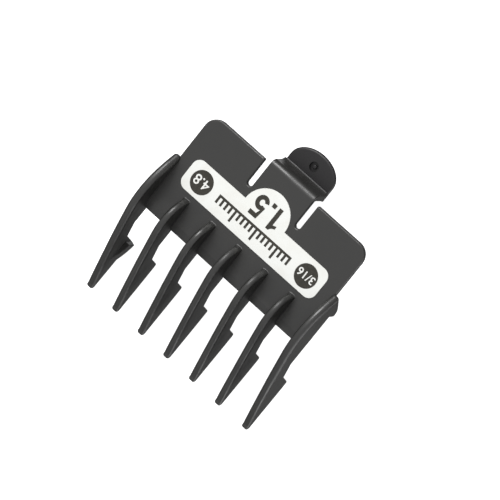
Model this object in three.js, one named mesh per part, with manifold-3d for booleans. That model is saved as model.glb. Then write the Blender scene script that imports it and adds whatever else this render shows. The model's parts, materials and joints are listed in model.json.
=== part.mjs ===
// Clipper guard comb: a moulded comb that snaps over the blade of a hair clipper.
// Millimetres. +X runs along the blade, +Y from the tooth tips to the finger tab, +Z up through
// the labelled face. Shapes are drawn with Y = 0 at the plate's front edge and Z = 0 on its top
// face, and the whole comb is then moved so that the origin is under its middle, at its base.

import * as THREE from "three";
import { mergeVertices } from "three/addons/utils/BufferGeometryUtils.js";
import Module from "manifold-3d";

const wasm = await Module();
wasm.setup();

// ---- Driving dimensions ----

// The clipper blade that the comb carries, and the play it has between the outer teeth.
const bladeWidth = 45;
const bladeSideClearance = 0.1;

// Plate
const plateDepth = 25.9;
const plateThickness = 1.5;
const plateFlangeBeyondWall = 0.57;
const plateCornerRadius = 3.2;
const frontBevelDepth = 1.9;
const frontBevelDrop = 0.45;
const plateShoulderClearance = 0.3; // between an outer tooth's rib and the flange behind it

// Slots that free the latch tongue
const tongueWidth = 12.8;
const slotWidth = 1.45;
const slotLength = 6.85;

// Label, with a half-round bump that reaches over the tongue's root
const labelSideMargin = 2.8; // to the outer teeth
const labelRibMargin = 0.76; // to the inner teeth's ribs
const labelSlotMargin = 0.6; // between the bump and the slots
const labelHingeMargin = 0.2; // between the bump and the tongue's free part
const labelCornerRadius = 2;
const labelThickness = 0.25;

// Teeth
const toothCount = 7;
const toothThickness = 1.7;
const outerToothThickness = 1.9;
const tipThickness = 1.15;
const taperStart = -2;
const toothReach = 24;
const ridgeFall = 0.52; // drop of the ridge for each millimetre forwards, where the root ends
const ridgeBreak = -2; // where the curved root ends and the long ridge starts
const ridgeBreakHeight = 4.3;
const tipHeight = 1.7;
const ribStart = 8.3;
const ribHeelRise = 5.2; // the steep heel of an inner tooth's rib
const ribHeelLean = 0.7;
const ribCrown = 2.5;
const outerRibStart = 14.2;
const outerRibStartHeight = 0.2;
const outerRibCrown = 6;

// Ledge that the blade's tips stop against
const ledgeSetback = 8.6;
const ledgeLevel = 4.8;
const ledgeLean = 1.5;
const toeLevel = 10.1;
const toeRadius = 0.5;
const throatLevel = 2.25;
const throatLength = 4.6;

// Outer teeth: they hang lower, as side walls, with a guide lug behind and a gusset inside
const outerDrop = 0.6;
const lugSetback = 1.2; // from the rear end of the rib to the lug's rear, at the plate's underside
const lugLength = 4.5;
const lugSlope = 0.6;
const lugLevel = 6.1;
const lugRadius = 1.1;
const gussetWidth = 1.35;
const gussetHeel = 0.34;
const gussetLength = 7.6;
const gussetTop = 6.6;
const gussetSlope = 1.5;

// Latch
const hingeGap = 0.3;
const hingeBehindSlots = 3.75; // from the inner ends of the slots
const bendRadius = 1.7;
const bendOverhang = 1.1; // of the riser's rear face behind the plate
const latchWall = 1.5;
const riserBottom = 6.6;
const riserFlare = 1;
const riserFlareRise = 2.5;
const edgeInset = 0.55;
const edgeStepHeight = 0.35;
const catchDepth = 1.1;
const catchHeight = 1.9;
const catchLead = 0.37;
const catchInset = 1.9;
const tabInset = 0.2;
const tabThickness = 1.15;
const tabStraight = 2.2; // straight sides behind the riser
const tabArcDepth = 4.35;
const dimpleRadius = 1.15;
const dimpleDepth = 0.45;
const dimpleBehindRiser = 3.3;
const nubRadius = 0.5;

// ---- Derived sizes ----

const wallInner = bladeWidth / 2 + bladeSideClearance;
const wallOuter = wallInner + outerToothThickness;
const wallLevel = throatLevel + outerDrop;
const toothPitch = (wallInner + wallOuter) / (toothCount - 1);
const plateHalfWidth = wallInner + plateFlangeBeyondWall;
const plateNarrowEnd = outerRibStart + plateShoulderClearance;
const slotEnd = plateDepth - slotLength;
const hingePlace = slotEnd + hingeBehindSlots;
const tongueRootEnd = hingePlace - hingeGap / 2;
const latchStart = hingePlace + hingeGap / 2;
const labelHalfWidth = wallInner - labelSideMargin;
const labelFront = ribStart + labelRibMargin;
const labelBumpRadius = tongueWidth / 2 - labelSlotMargin;
const labelRear = tongueRootEnd - labelHingeMargin - labelBumpRadius;
const ledgeToe = ledgeSetback + ledgeLean;
const lugRear = outerRibStart - lugSetback;
const bendRear = plateDepth + bendOverhang;
const riserFrontFace = bendRear - latchWall;
const edgeRear = bendRear + riserFlare;
const tabTop = riserBottom + edgeStepHeight;
const tabStraightEnd = bendRear + tabStraight;
const tabEnd = tabStraightEnd + tabArcDepth;
const lowest = -toeLevel - outerDrop;
const middleY = (tabEnd - toothReach) / 2;

// ---- Finishes ----

const satinBlack = new THREE.MeshStandardMaterial({ color: 0x3a3938, roughness: 0.42, metalness: 0 });
const tabBlack = new THREE.MeshStandardMaterial({ color: 0x2b292b, roughness: 0.46, metalness: 0 });
const labelWhite = new THREE.MeshStandardMaterial({ color: 0xf6f6f1, roughness: 0.5, metalness: 0 });

// ---- Helpers ----

const acrossX = new THREE.Matrix4().makeBasis(
  new THREE.Vector3(0, 1, 0),
  new THREE.Vector3(0, 0, 1),
  new THREE.Vector3(1, 0, 0),
);
const acrossY = new THREE.Matrix4().makeBasis(
  new THREE.Vector3(1, 0, 0),
  new THREE.Vector3(0, 0, 1),
  new THREE.Vector3(0, -1, 0),
);

function extrude(shape, depth, curveSegments) {
  return new THREE.ExtrudeGeometry(shape, { depth, bevelEnabled: false, curveSegments });
}

// A side outline in Y and Z, given a thickness along X from the given start.
function sideSlab(outline, start, thickness, curveSegments = 10) {
  return extrude(outline, thickness, curveSegments).applyMatrix4(acrossX).translate(start, 0, 0);
}

// A front outline in X and Z, given a length along Y that ends at the given place.
function frontSlab(outline, end, length, curveSegments = 10) {
  return extrude(outline, length, curveSegments).applyMatrix4(acrossY).translate(0, end, 0);
}

// A plan outline in X and Y, given a height from the given level.
function planSlab(outline, bottom, height, curveSegments = 10) {
  return extrude(outline, height, curveSegments).translate(0, 0, bottom);
}

function polygon(points) {
  return new THREE.Shape(points.map(([u, v]) => new THREE.Vector2(u, v)));
}

function toSolid(geometry) {
  const bare = geometry.clone();
  bare.deleteAttribute("normal");
  bare.deleteAttribute("uv");
  const merged = mergeVertices(bare, 1e-4);
  return new wasm.Manifold(
    new wasm.Mesh({
      numProp: 3,
      vertProperties: merged.attributes.position.array,
      triVerts: new Uint32Array(merged.index.array),
    }),
  );
}

function toGeometry(solid) {
  const mesh = solid.getMesh();
  const geometry = new THREE.BufferGeometry();
  geometry.setAttribute("position", new THREE.BufferAttribute(mesh.vertProperties, 3));
  geometry.setIndex(new THREE.BufferAttribute(mesh.triVerts, 1));
  geometry.computeVertexNormals();
  return geometry;
}

const comb = new THREE.Group();
comb.position.set(0, -middleY, -lowest);

function addPart(name, geometry, material) {
  const mesh = new THREE.Mesh(geometry, material);
  mesh.name = name;
  comb.add(mesh);
  return mesh;
}

// ---- Plate and label ----

// Plan of the plate: narrow between the outer teeth, flanged behind them, slotted for the latch.
function platePlan() {
  const half = tongueWidth / 2;
  const radius = plateCornerRadius;
  const plan = new THREE.Shape();
  plan.moveTo(-wallInner, 0);
  plan.lineTo(wallInner, 0);
  plan.lineTo(wallInner, plateNarrowEnd);
  plan.lineTo(plateHalfWidth, plateNarrowEnd);
  plan.lineTo(plateHalfWidth, plateDepth - radius);
  plan.absarc(plateHalfWidth - radius, plateDepth - radius, radius, 0, Math.PI / 2, false);
  plan.lineTo(half + slotWidth, plateDepth);
  plan.lineTo(half + slotWidth, slotEnd + slotWidth / 2);
  plan.absarc(half + slotWidth / 2, slotEnd + slotWidth / 2, slotWidth / 2, 0, Math.PI, true);
  plan.lineTo(half, tongueRootEnd);
  plan.lineTo(-half, tongueRootEnd);
  plan.lineTo(-half, slotEnd + slotWidth / 2);
  plan.absarc(-half - slotWidth / 2, slotEnd + slotWidth / 2, slotWidth / 2, 0, Math.PI, true);
  plan.lineTo(-half - slotWidth, plateDepth);
  plan.absarc(radius - plateHalfWidth, plateDepth - radius, radius, Math.PI / 2, Math.PI, false);
  plan.lineTo(-plateHalfWidth, plateNarrowEnd);
  plan.lineTo(-wallInner, plateNarrowEnd);
  return plan;
}

function basePlate() {
  const plan = toSolid(planSlab(platePlan(), -plateThickness, plateThickness));
  const side = polygon([
    [0, -plateThickness],
    [plateDepth, -plateThickness],
    [plateDepth, 0],
    [frontBevelDepth, 0],
    [0, -frontBevelDrop],
  ]);
  const bevelled = toSolid(sideSlab(side, -plateHalfWidth, 2 * plateHalfWidth));
  return toGeometry(plan.intersect(bevelled));
}

// A rounded strip with a half-round bump over the tongue.
function labelPanel() {
  const half = labelHalfWidth;
  const rear = labelRear;
  const radius = Math.min(labelCornerRadius, (labelRear - labelFront) / 2);
  const plan = new THREE.Shape();
  plan.moveTo(radius - half, labelFront);
  plan.lineTo(half - radius, labelFront);
  plan.absarc(half - radius, labelFront + radius, radius, -Math.PI / 2, 0, false);
  plan.absarc(half - radius, rear - radius, radius, 0, Math.PI / 2, false);
  plan.lineTo(labelBumpRadius, rear);
  plan.absarc(0, rear, labelBumpRadius, 0, Math.PI, false);
  plan.lineTo(radius - half, rear);
  plan.absarc(radius - half, rear - radius, radius, Math.PI / 2, Math.PI, false);
  plan.absarc(radius - half, labelFront + radius, radius, Math.PI, 1.5 * Math.PI, false);
  return planSlab(plan, 0, labelThickness, 8);
}

// ---- Teeth ----

// Height of the straight line that runs on from the ridge where the root ends.
function ridgeLine(y) {
  return ridgeBreakHeight + ridgeFall * (y - ridgeBreak);
}

// Ridge, tip, toe and ledge: what an inner and an outer tooth share, drawn from the ridge's break
// round the tip to the throat behind the ledge.
function drawFinger(outline, drop) {
  const toe = -toeLevel - drop;
  const toeLean = (toeRadius * ledgeLean) / (toeLevel - ledgeLevel);
  const tipRadius = tipHeight / 2;
  const tipCentre = tipRadius - toothReach;
  const midRidge = (ridgeBreak + tipCentre) / 2;
  outline.quadraticCurveTo(midRidge, ridgeLine(midRidge), tipCentre, toe + tipHeight);
  outline.absarc(tipCentre, toe + tipRadius, tipRadius, Math.PI / 2, 1.5 * Math.PI, false);
  outline.lineTo(-ledgeToe - toeRadius, toe);
  outline.quadraticCurveTo(-ledgeToe, toe, -ledgeToe + toeLean, toe + toeRadius);
  outline.lineTo(-ledgeSetback, -ledgeLevel - drop);
  outline.lineTo(-throatLength, -throatLevel - drop);
}

// An inner tooth fills the plate's front bevel and runs on over the plate as a rib.
function innerOutline() {
  const heel = ribStart - ribHeelLean;
  const outline = new THREE.Shape();
  outline.moveTo(0, -frontBevelDrop);
  outline.lineTo(frontBevelDepth, 0);
  outline.lineTo(ribStart, 0);
  outline.bezierCurveTo(heel, ribHeelRise, ribCrown, ridgeLine(ribCrown), ridgeBreak, ridgeBreakHeight);
  drawFinger(outline, 0);
  outline.lineTo(0, -throatLevel);
  return outline;
}

// Rear edge of a guide lug, which the side wall above it carries on.
function lugRearAt(level) {
  return lugRear + lugSlope * (level + plateThickness);
}

function outerOutline() {
  const outline = new THREE.Shape();
  outline.moveTo(lugRearAt(-wallLevel), -wallLevel);
  outline.lineTo(outerRibStart, outerRibStartHeight);
  outline.quadraticCurveTo(outerRibCrown, ridgeLine(outerRibCrown), ridgeBreak, ridgeBreakHeight);
  drawFinger(outline, outerDrop);
  return outline;
}

// Plan of one tooth between two faces: full thickness at the root, thinner and round at the tip,
// whose middle stands at tipCentre.
function toothPlan(left, right, tipCentre, rear) {
  const tip = tipThickness / 2;
  const plan = new THREE.Shape();
  plan.moveTo(left, rear);
  plan.lineTo(left, taperStart);
  plan.absarc(tipCentre, tip - toothReach, tip, Math.PI, 2 * Math.PI, false);
  plan.lineTo(right, taperStart);
  plan.lineTo(right, rear);
  return plan;
}

function tooth(outline, left, right, tipCentre, rear) {
  const body = toSolid(sideSlab(outline, left, right - left));
  const reach = toothReach + rear;
  const plan = toSolid(planSlab(toothPlan(left, right, tipCentre, rear), -reach, 2 * reach, 4));
  return toGeometry(body.intersect(plan));
}

function innerTooth(centre) {
  const half = toothThickness / 2;
  return tooth(innerOutline(), centre - half, centre + half, centre, ribStart);
}

// An outer tooth keeps its outer face flat, so all of its taper is on the inner face.
function outerTooth(side) {
  const left = side < 0 ? -wallOuter : wallInner;
  const right = left + outerToothThickness;
  return tooth(outerOutline(), left, right, side * (wallOuter - tipThickness / 2), outerRibStart);
}

// Lug behind the side wall, which keeps the blade's heel in line.
function guideLug(side) {
  const start = side < 0 ? -wallOuter : wallInner;
  const front = lugRear - lugLength;
  const top = -wallLevel;
  const bottom = -lugLevel;
  const shoulder = bottom + lugRadius;
  const outline = new THREE.Shape();
  outline.moveTo(front, top);
  outline.lineTo(front, bottom + lugRadius / 2);
  outline.quadraticCurveTo(front, bottom, front + lugRadius / 2, bottom);
  outline.quadraticCurveTo(lugRearAt(bottom), bottom, lugRearAt(shoulder), shoulder);
  outline.lineTo(lugRearAt(top), top);
  return sideSlab(outline, start, outerToothThickness, 6);
}

// Inner face of an outer tooth, which leans outwards as the tooth tapers.
function innerFaceAt(y) {
  const taperEnd = tipThickness / 2 - toothReach;
  const share = (taperStart - y) / (taperStart - taperEnd);
  return wallInner + share * (outerToothThickness - tipThickness);
}

// Gusset on an outer tooth's inner face: it fills the blade's front corner and runs out forwards.
function cornerGusset(side) {
  const rear = -ledgeToe;
  const front = rear - gussetLength;
  const inner = wallInner - gussetWidth;
  const topAt = (x) => -gussetTop - (gussetSlope * (wallInner - x)) / gussetWidth;
  const outline = polygon([
    [side * innerFaceAt(rear), rear],
    [side * inner, rear - gussetHeel],
    [side * innerFaceAt(front), front],
  ]);
  const section = polygon([
    [side * wallOuter, lowest],
    [side * inner, lowest],
    [side * inner, topAt(inner)],
    [side * wallOuter, topAt(wallOuter)],
  ]);
  const plan = toSolid(planSlab(outline, lowest, -lowest));
  const sloped = toSolid(frontSlab(section, rear, gussetLength));
  return toGeometry(plan.intersect(sloped));
}

// ---- Latch ----

// Flexing tongue: flat, with its sides in line with the slots.
function latchTongue() {
  const length = bendRear - bendRadius - latchStart;
  const outline = polygon([
    [latchStart, -latchWall],
    [latchStart + length, -latchWall],
    [latchStart + length, 0],
    [latchStart, 0],
  ]);
  return sideSlab(outline, -tongueWidth / 2, tongueWidth);
}

// Bend and riser: the tongue turns down and flares rearwards into a sharp edge.
function latchRiser() {
  const bendStart = bendRear - bendRadius;
  const innerRadius = bendRadius - latchWall;
  const outline = new THREE.Shape();
  outline.moveTo(bendStart, -latchWall);
  outline.absarc(bendStart, -bendRadius, innerRadius, Math.PI / 2, 0, true);
  outline.lineTo(riserFrontFace, -riserBottom);
  outline.lineTo(edgeRear, -riserBottom);
  outline.quadraticCurveTo(bendRear, riserFlare - riserBottom, bendRear, riserFlareRise - riserBottom);
  outline.lineTo(bendRear, -bendRadius);
  outline.absarc(bendStart, -bendRadius, bendRadius, 0, Math.PI / 2, false);
  return sideSlab(outline, -tongueWidth / 2, tongueWidth, 8);
}

// Catch along the riser's front, which hooks under the blade's heel.
function catchLip() {
  const bottom = -riserBottom;
  const front = riserFrontFace - catchDepth;
  const width = tongueWidth - 2 * catchInset;
  const outline = polygon([
    [riserFrontFace, bottom],
    [riserFrontFace, bottom + catchHeight],
    [front, bottom + catchHeight - catchLead],
    [front, bottom + catchHeight - catchDepth],
  ]);
  return sideSlab(outline, -width / 2, width);
}

// Thin step between the riser's sharp edge and the tab's face.
function edgeStep() {
  const width = tongueWidth - 2 * edgeInset;
  const outline = polygon([
    [riserFrontFace, -tabTop],
    [edgeRear, -tabTop],
    [edgeRear, -riserBottom],
    [riserFrontFace, -riserBottom],
  ]);
  return sideSlab(outline, -width / 2, width);
}

// D-shaped finger tab with a moulding dimple and its nub.
function fingerTab() {
  const half = tongueWidth / 2 - tabInset;
  const dimplePlace = bendRear + dimpleBehindRiser;
  const bottom = -tabTop - tabThickness;
  const plan = new THREE.Shape();
  plan.moveTo(-half, riserFrontFace);
  plan.lineTo(half, riserFrontFace);
  plan.lineTo(half, tabStraightEnd);
  plan.absellipse(0, tabStraightEnd, half, tabArcDepth, 0, Math.PI, false);
  const plate = toSolid(planSlab(plan, bottom, tabThickness, 28));
  const ring = new THREE.Shape();
  ring.absarc(0, dimplePlace, dimpleRadius, 0, 2 * Math.PI, false);
  const core = new THREE.Path();
  core.absarc(0, dimplePlace, nubRadius, 0, 2 * Math.PI, true);
  ring.holes.push(core);
  const groove = toSolid(planSlab(ring, -tabTop - dimpleDepth, 2 * dimpleDepth, 16));
  return toGeometry(plate.subtract(groove));
}

// ---- Assembly ----

addPart("base_plate", basePlate(), satinBlack);
addPart("label_panel", labelPanel(), labelWhite);

const toothLine = [...Array(toothCount).keys()].map((index) => (index - (toothCount - 1) / 2) * toothPitch);
toothLine.slice(1, -1).forEach((centre, index) => {
  addPart(`tooth_${index + 2}`, innerTooth(centre), satinBlack);
});

for (const [side, name] of [
  [-1, "left"],
  [1, "right"],
]) {
  addPart(`outer_tooth_${name}`, outerTooth(side), satinBlack);
  addPart(`guide_lug_${name}`, guideLug(side), satinBlack);
  addPart(`corner_gusset_${name}`, cornerGusset(side), satinBlack);
}

addPart("latch_tongue", latchTongue(), satinBlack);
addPart("latch_riser", latchRiser(), satinBlack);
addPart("catch_lip", catchLip(), satinBlack);
addPart("edge_step", edgeStep(), tabBlack);
addPart("finger_tab", fingerTab(), tabBlack);

export default comb;
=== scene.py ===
"""Clipper guard comb: a moulded comb with a flexing latch and a printed label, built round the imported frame.

Shapes are drawn in millimetres, with X = 0 in the middle of the plate, Y = 0 at its front edge and
Z = 0 on its top face. The workshop turns a drawing into a mesh in metres at its place in the frame.
"""

import json
import logging
import math
from collections.abc import Callable, Iterable
from dataclasses import dataclass, field
from enum import Enum

import bmesh
import bpy
from mathutils import Matrix, Vector

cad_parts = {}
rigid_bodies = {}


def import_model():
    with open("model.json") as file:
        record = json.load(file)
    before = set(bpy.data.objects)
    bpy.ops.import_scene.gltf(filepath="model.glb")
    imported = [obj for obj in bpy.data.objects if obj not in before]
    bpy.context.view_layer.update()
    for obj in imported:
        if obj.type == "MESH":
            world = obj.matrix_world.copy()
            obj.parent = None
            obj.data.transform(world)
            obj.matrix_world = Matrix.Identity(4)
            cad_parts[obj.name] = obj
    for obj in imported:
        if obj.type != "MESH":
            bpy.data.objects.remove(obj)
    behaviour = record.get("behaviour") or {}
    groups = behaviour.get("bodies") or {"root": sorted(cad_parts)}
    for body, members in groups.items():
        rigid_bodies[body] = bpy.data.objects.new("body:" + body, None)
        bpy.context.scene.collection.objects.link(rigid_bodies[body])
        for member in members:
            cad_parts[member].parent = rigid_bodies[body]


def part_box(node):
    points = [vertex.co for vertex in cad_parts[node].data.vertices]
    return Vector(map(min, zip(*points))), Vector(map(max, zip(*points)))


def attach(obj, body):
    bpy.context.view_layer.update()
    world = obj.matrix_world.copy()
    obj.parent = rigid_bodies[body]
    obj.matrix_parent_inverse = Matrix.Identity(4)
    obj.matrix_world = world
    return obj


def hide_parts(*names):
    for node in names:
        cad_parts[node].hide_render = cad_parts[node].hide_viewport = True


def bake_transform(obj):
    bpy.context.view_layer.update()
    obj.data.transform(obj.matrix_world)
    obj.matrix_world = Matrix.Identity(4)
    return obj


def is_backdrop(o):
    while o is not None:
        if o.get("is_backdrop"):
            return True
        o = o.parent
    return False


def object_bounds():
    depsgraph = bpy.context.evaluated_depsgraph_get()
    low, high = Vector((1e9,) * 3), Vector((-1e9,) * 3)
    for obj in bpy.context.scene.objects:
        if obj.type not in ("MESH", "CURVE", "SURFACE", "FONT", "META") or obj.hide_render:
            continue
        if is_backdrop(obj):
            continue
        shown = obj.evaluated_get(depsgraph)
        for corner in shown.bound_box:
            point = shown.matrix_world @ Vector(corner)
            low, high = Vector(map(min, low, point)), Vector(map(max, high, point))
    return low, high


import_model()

MM = 0.001
FINE = 1e-7  # metres within which two vertices are one
NEAR = 0.01  # millimetres within which a point lies on a line of the drawing
COMB = "comb"
LATCH = "latch"

log = logging.getLogger("guard_comb")

Pair = tuple[float, float]


class Plane(Enum):
    """The plane that an outline is drawn in: what its first and second numbers are."""

    SIDE = "Y and Z, with thickness along X"
    PLAN = "X and Y, with thickness along Z"


class Side(Enum):
    """A side of the comb, seen from the tips of its teeth, with the sign of its X."""

    LEFT = -1
    RIGHT = 1

    @property
    def word(self) -> str:
        """The side's name in a node or a piece."""
        return self.name.lower()


@dataclass(frozen=True)
class Drawing:
    """The drawing's zero in the part's frame, in metres."""

    middle: float
    front: float
    top: float

    @classmethod
    def of_plate(cls) -> "Drawing":
        """Reads the zero from the base plate's box."""
        low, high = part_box("base_plate")
        return cls(middle=(low.x + high.x) / 2, front=low.y, top=high.z)

    def place(self, x: float, y: float, z: float) -> Vector:
        """The part's point, in metres, for a drawing's point in millimetres."""
        return Vector((self.middle + x * MM, self.front + y * MM, self.top + z * MM))

    def read(self, point: Vector) -> Vector:
        """The drawing's point, in millimetres, for a part's point in metres."""
        return Vector((point.x - self.middle, point.y - self.front, point.z - self.top)) / MM

    def span(self, node: str) -> tuple[Vector, Vector]:
        """Lowest and highest corner of a CAD node, in the drawing's millimetres."""
        low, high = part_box(node)
        return self.read(low), self.read(high)


@dataclass
class Knot:
    """A point of an outline, with the handles of the curves that meet there."""

    place: Pair
    before: Pair | None = None
    after: Pair | None = None


class Outline:
    """A closed outline of straight and curved stretches, in millimetres."""

    def __init__(self, u: float, v: float) -> None:
        """Starts the outline at a point."""
        self.knots = [Knot((u, v))]

    def line(self, u: float, v: float) -> "Outline":
        """Adds a straight stretch to a point."""
        self.knots.append(Knot((u, v)))
        return self

    def curve(self, near: Pair, far: Pair, u: float, v: float) -> "Outline":
        """Adds a curve with two handles.

        Args:
            near: The handle at its start.
            far: The handle at its end.
            u: The end's first number.
            v: The end's second number.

        Returns:
            The outline, for the next stretch.
        """
        self.knots[-1].after = near
        self.knots.append(Knot((u, v), before=far))
        return self

    def straight(self, u: float, v: float) -> "Outline":
        """Adds a straight stretch that is divided as finely as a curve."""
        (a, b) = self.knots[-1].place
        return self.curve((a + (u - a) / 3, b + (v - b) / 3), (u - (u - a) / 3, v - (v - b) / 3), u, v)

    def bow(self, pull: Pair, u: float, v: float) -> "Outline":
        """Adds a curve with one handle.

        Args:
            pull: The handle, towards which the curve bows.
            u: The end's first number.
            v: The end's second number.

        Returns:
            The outline, for the next stretch.
        """
        (a, b), (p, q) = self.knots[-1].place, pull
        near = (a + 2 / 3 * (p - a), b + 2 / 3 * (q - b))
        far = (u + 2 / 3 * (p - u), v + 2 / 3 * (q - v))
        return self.curve(near, far, u, v)

    def arc(self, centre: Pair, radius: float | Pair, start: float, end: float) -> "Outline":
        """Adds an arc, after a straight stretch to its start if it starts elsewhere.

        Args:
            centre: The arc's centre.
            radius: Its radius, or its two radii along u and v.
            start: Its first angle in degrees, anticlockwise from +u.
            end: Its last angle in degrees.

        Returns:
            The outline, for the next stretch.
        """
        across, along = radius if isinstance(radius, tuple) else (radius, radius)
        count = max(1, math.ceil(abs(end - start) / 90 - 1e-6))
        step = math.radians(end - start) / count
        reach = 4 / 3 * math.tan(step / 4)
        angle = math.radians(start)

        def at(turn: float, lead: float) -> Pair:
            """The arc's point at an angle, moved along its tangent by a lead."""
            cosine, sine = math.cos(turn), math.sin(turn)
            return (
                centre[0] + across * (cosine - lead * sine),
                centre[1] + along * (sine + lead * cosine),
            )

        first = at(angle, 0)
        if math.dist(first, self.knots[-1].place) > 1e-6:
            self.line(*first)
        for _ in range(count):
            self.curve(at(angle, reach), at(angle + step, -reach), *at(angle + step, 0))
            angle += step
        return self

    def turned(self, u: float, v: float) -> "Outline":
        """The outline after half a turn.

        Args:
            u: Where its zero goes, first number.
            v: Where its zero goes, second number.

        Returns:
            A new outline.
        """

        def swing(pair: Pair | None) -> Pair | None:
            """A place or a handle after the turn."""
            return (u - pair[0], v - pair[1]) if pair else None

        other = Outline(0, 0)
        other.knots = [Knot(swing(k.place), swing(k.before), swing(k.after)) for k in self.knots]
        return other

    def closed(self) -> list[Knot]:
        """The knots of the closed outline.

        Returns:
            The knots, with a repeated last point taken up by the first.
        """
        first, last = self.knots[0], self.knots[-1]
        if math.dist(first.place, last.place) > 1e-6:
            return self.knots
        return [Knot(first.place, last.before, first.after), *self.knots[1:-1]]


@dataclass
class Workshop:
    """The modelling tools: each works on one piece and leaves it alone selected."""

    drawing: Drawing

    def pick(self, piece: bpy.types.Object) -> None:
        """Selects one piece and nothing else.

        Args:
            piece: The piece.
        """
        for other in bpy.context.view_layer.objects:
            other.select_set(other == piece)
        bpy.context.view_layer.objects.active = piece

    def clear(self) -> None:
        """Deselects every object, so that a new one is alone."""
        for other in bpy.context.view_layer.objects:
            other.select_set(False)
        bpy.context.view_layer.objects.active = None

    def edit(self, piece: bpy.types.Object, action: str = "SELECT") -> None:
        """Opens a piece in edit mode with all or none of it selected.

        Args:
            piece: The piece.
            action: SELECT for all of it, DESELECT for none.
        """
        self.pick(piece)
        bpy.ops.object.mode_set(mode="EDIT")
        bpy.ops.mesh.select_mode(type="VERT")
        bpy.ops.mesh.select_all(action=action)

    def leave(self) -> None:
        """Closes edit mode."""
        bpy.ops.object.mode_set(mode="OBJECT")

    def spot(self, plane: Plane, u: float, v: float, level: float) -> Vector:
        """The part's point for an outline's point.

        Args:
            plane: The plane that the outline is drawn in.
            u: The point's first number.
            v: The point's second number.
            level: Where the point lies, across the plane.

        Returns:
            The point in metres.
        """
        if plane is Plane.SIDE:
            return self.drawing.place(level, u, v)
        return self.drawing.place(u, v, level)

    def trace(
        self,
        name: str,
        outline: Outline,
        plane: Plane,
        level: float,
        steps: int,
    ) -> bpy.types.Object:
        """Draws an outline as a curve and fills it as one flat face.

        Args:
            name: The piece's name.
            outline: What is drawn.
            plane: The plane that it is drawn in.
            level: Where the plane lies, across itself.
            steps: How many edges each curved stretch gets.

        Returns:
            The new mesh object, closed for editing.
        """
        self.clear()
        bpy.ops.curve.primitive_bezier_curve_add(location=(0, 0, 0))
        curve = bpy.context.object
        curve.name = name
        curve.data.dimensions = "3D"
        curve.data.resolution_u = steps
        knots = outline.closed()
        spline = curve.data.splines[0]
        spline.bezier_points.add(len(knots) - len(spline.bezier_points))
        for knot, point in zip(knots, spline.bezier_points, strict=True):
            point.handle_left_type = "FREE" if knot.before else "VECTOR"
            point.handle_right_type = "FREE" if knot.after else "VECTOR"
            point.co = self.spot(plane, *knot.place, level)
            point.handle_left = self.spot(plane, *(knot.before or knot.place), level)
            point.handle_right = self.spot(plane, *(knot.after or knot.place), level)
        spline.use_cyclic_u = True
        bpy.ops.object.convert(target="MESH")
        piece = bpy.context.object
        self.edit(piece)
        bpy.ops.mesh.remove_doubles(threshold=FINE)
        bpy.ops.mesh.edge_face_add()
        self.leave()
        return piece

    def slab(
        self,
        name: str,
        outline: Outline,
        plane: Plane,
        low: float,
        high: float,
        steps: int = 10,
    ) -> bpy.types.Object:
        """Makes a solid of constant thickness from an outline.

        Args:
            name: The piece's name.
            outline: Its outline.
            plane: The plane that it is drawn in.
            low: Where the thickness starts, across the plane.
            high: Where it ends.
            steps: How many edges each curved stretch gets.

        Returns:
            The solid, with its faces pointing out.
        """
        piece = self.trace(name, outline, plane, low, steps)
        way = self.spot(plane, 0, 0, high) - self.spot(plane, 0, 0, low)
        self.edit(piece)
        bpy.ops.mesh.extrude_region_move(TRANSFORM_OT_translate={"value": way})
        bpy.ops.mesh.select_all(action="SELECT")
        bpy.ops.mesh.normals_make_consistent(inside=False)
        self.leave()
        return piece

    def cut(self, piece: bpy.types.Object, axis: int, places: Iterable[float]) -> None:
        """Cuts lines round a piece, so that it can bend or be shaped there.

        Args:
            piece: The piece.
            axis: 0, 1 or 2 for cuts across X, Y or Z.
            places: The drawing's millimetres along that axis.
        """
        normal = Vector([float(n == axis) for n in range(3)])
        self.edit(piece)
        for place in places:
            at = self.drawing.place(*(normal * place))
            bpy.ops.mesh.select_all(action="SELECT")
            bpy.ops.mesh.bisect(plane_co=at, plane_no=normal, threshold=FINE)
        self.leave()

    def choose(self, piece: bpy.types.Object, wanted: Callable[[Vector], bool]) -> None:
        """Opens a piece in edit mode with some of its vertices selected.

        Args:
            piece: The piece.
            wanted: Says whether the vertex at a drawing's point is selected.
        """
        self.edit(piece, "DESELECT")
        shape = bmesh.from_edit_mesh(piece.data)
        for vertex in shape.verts:
            vertex.select_set(wanted(self.drawing.read(vertex.co)))
        shape.select_flush(True)
        bmesh.update_edit_mesh(piece.data)

    def apply(self, piece: bpy.types.Object, kind: str, **settings: object) -> None:
        """Adds a modifier, sets it and applies it.

        Args:
            piece: The piece.
            kind: The modifier's type.
            **settings: The modifier's properties.
        """
        self.pick(piece)
        modifier = piece.modifiers.new(kind.lower(), kind)
        for key, value in settings.items():
            setattr(modifier, key, value)
        bpy.ops.object.modifier_apply(modifier=modifier.name)

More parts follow.
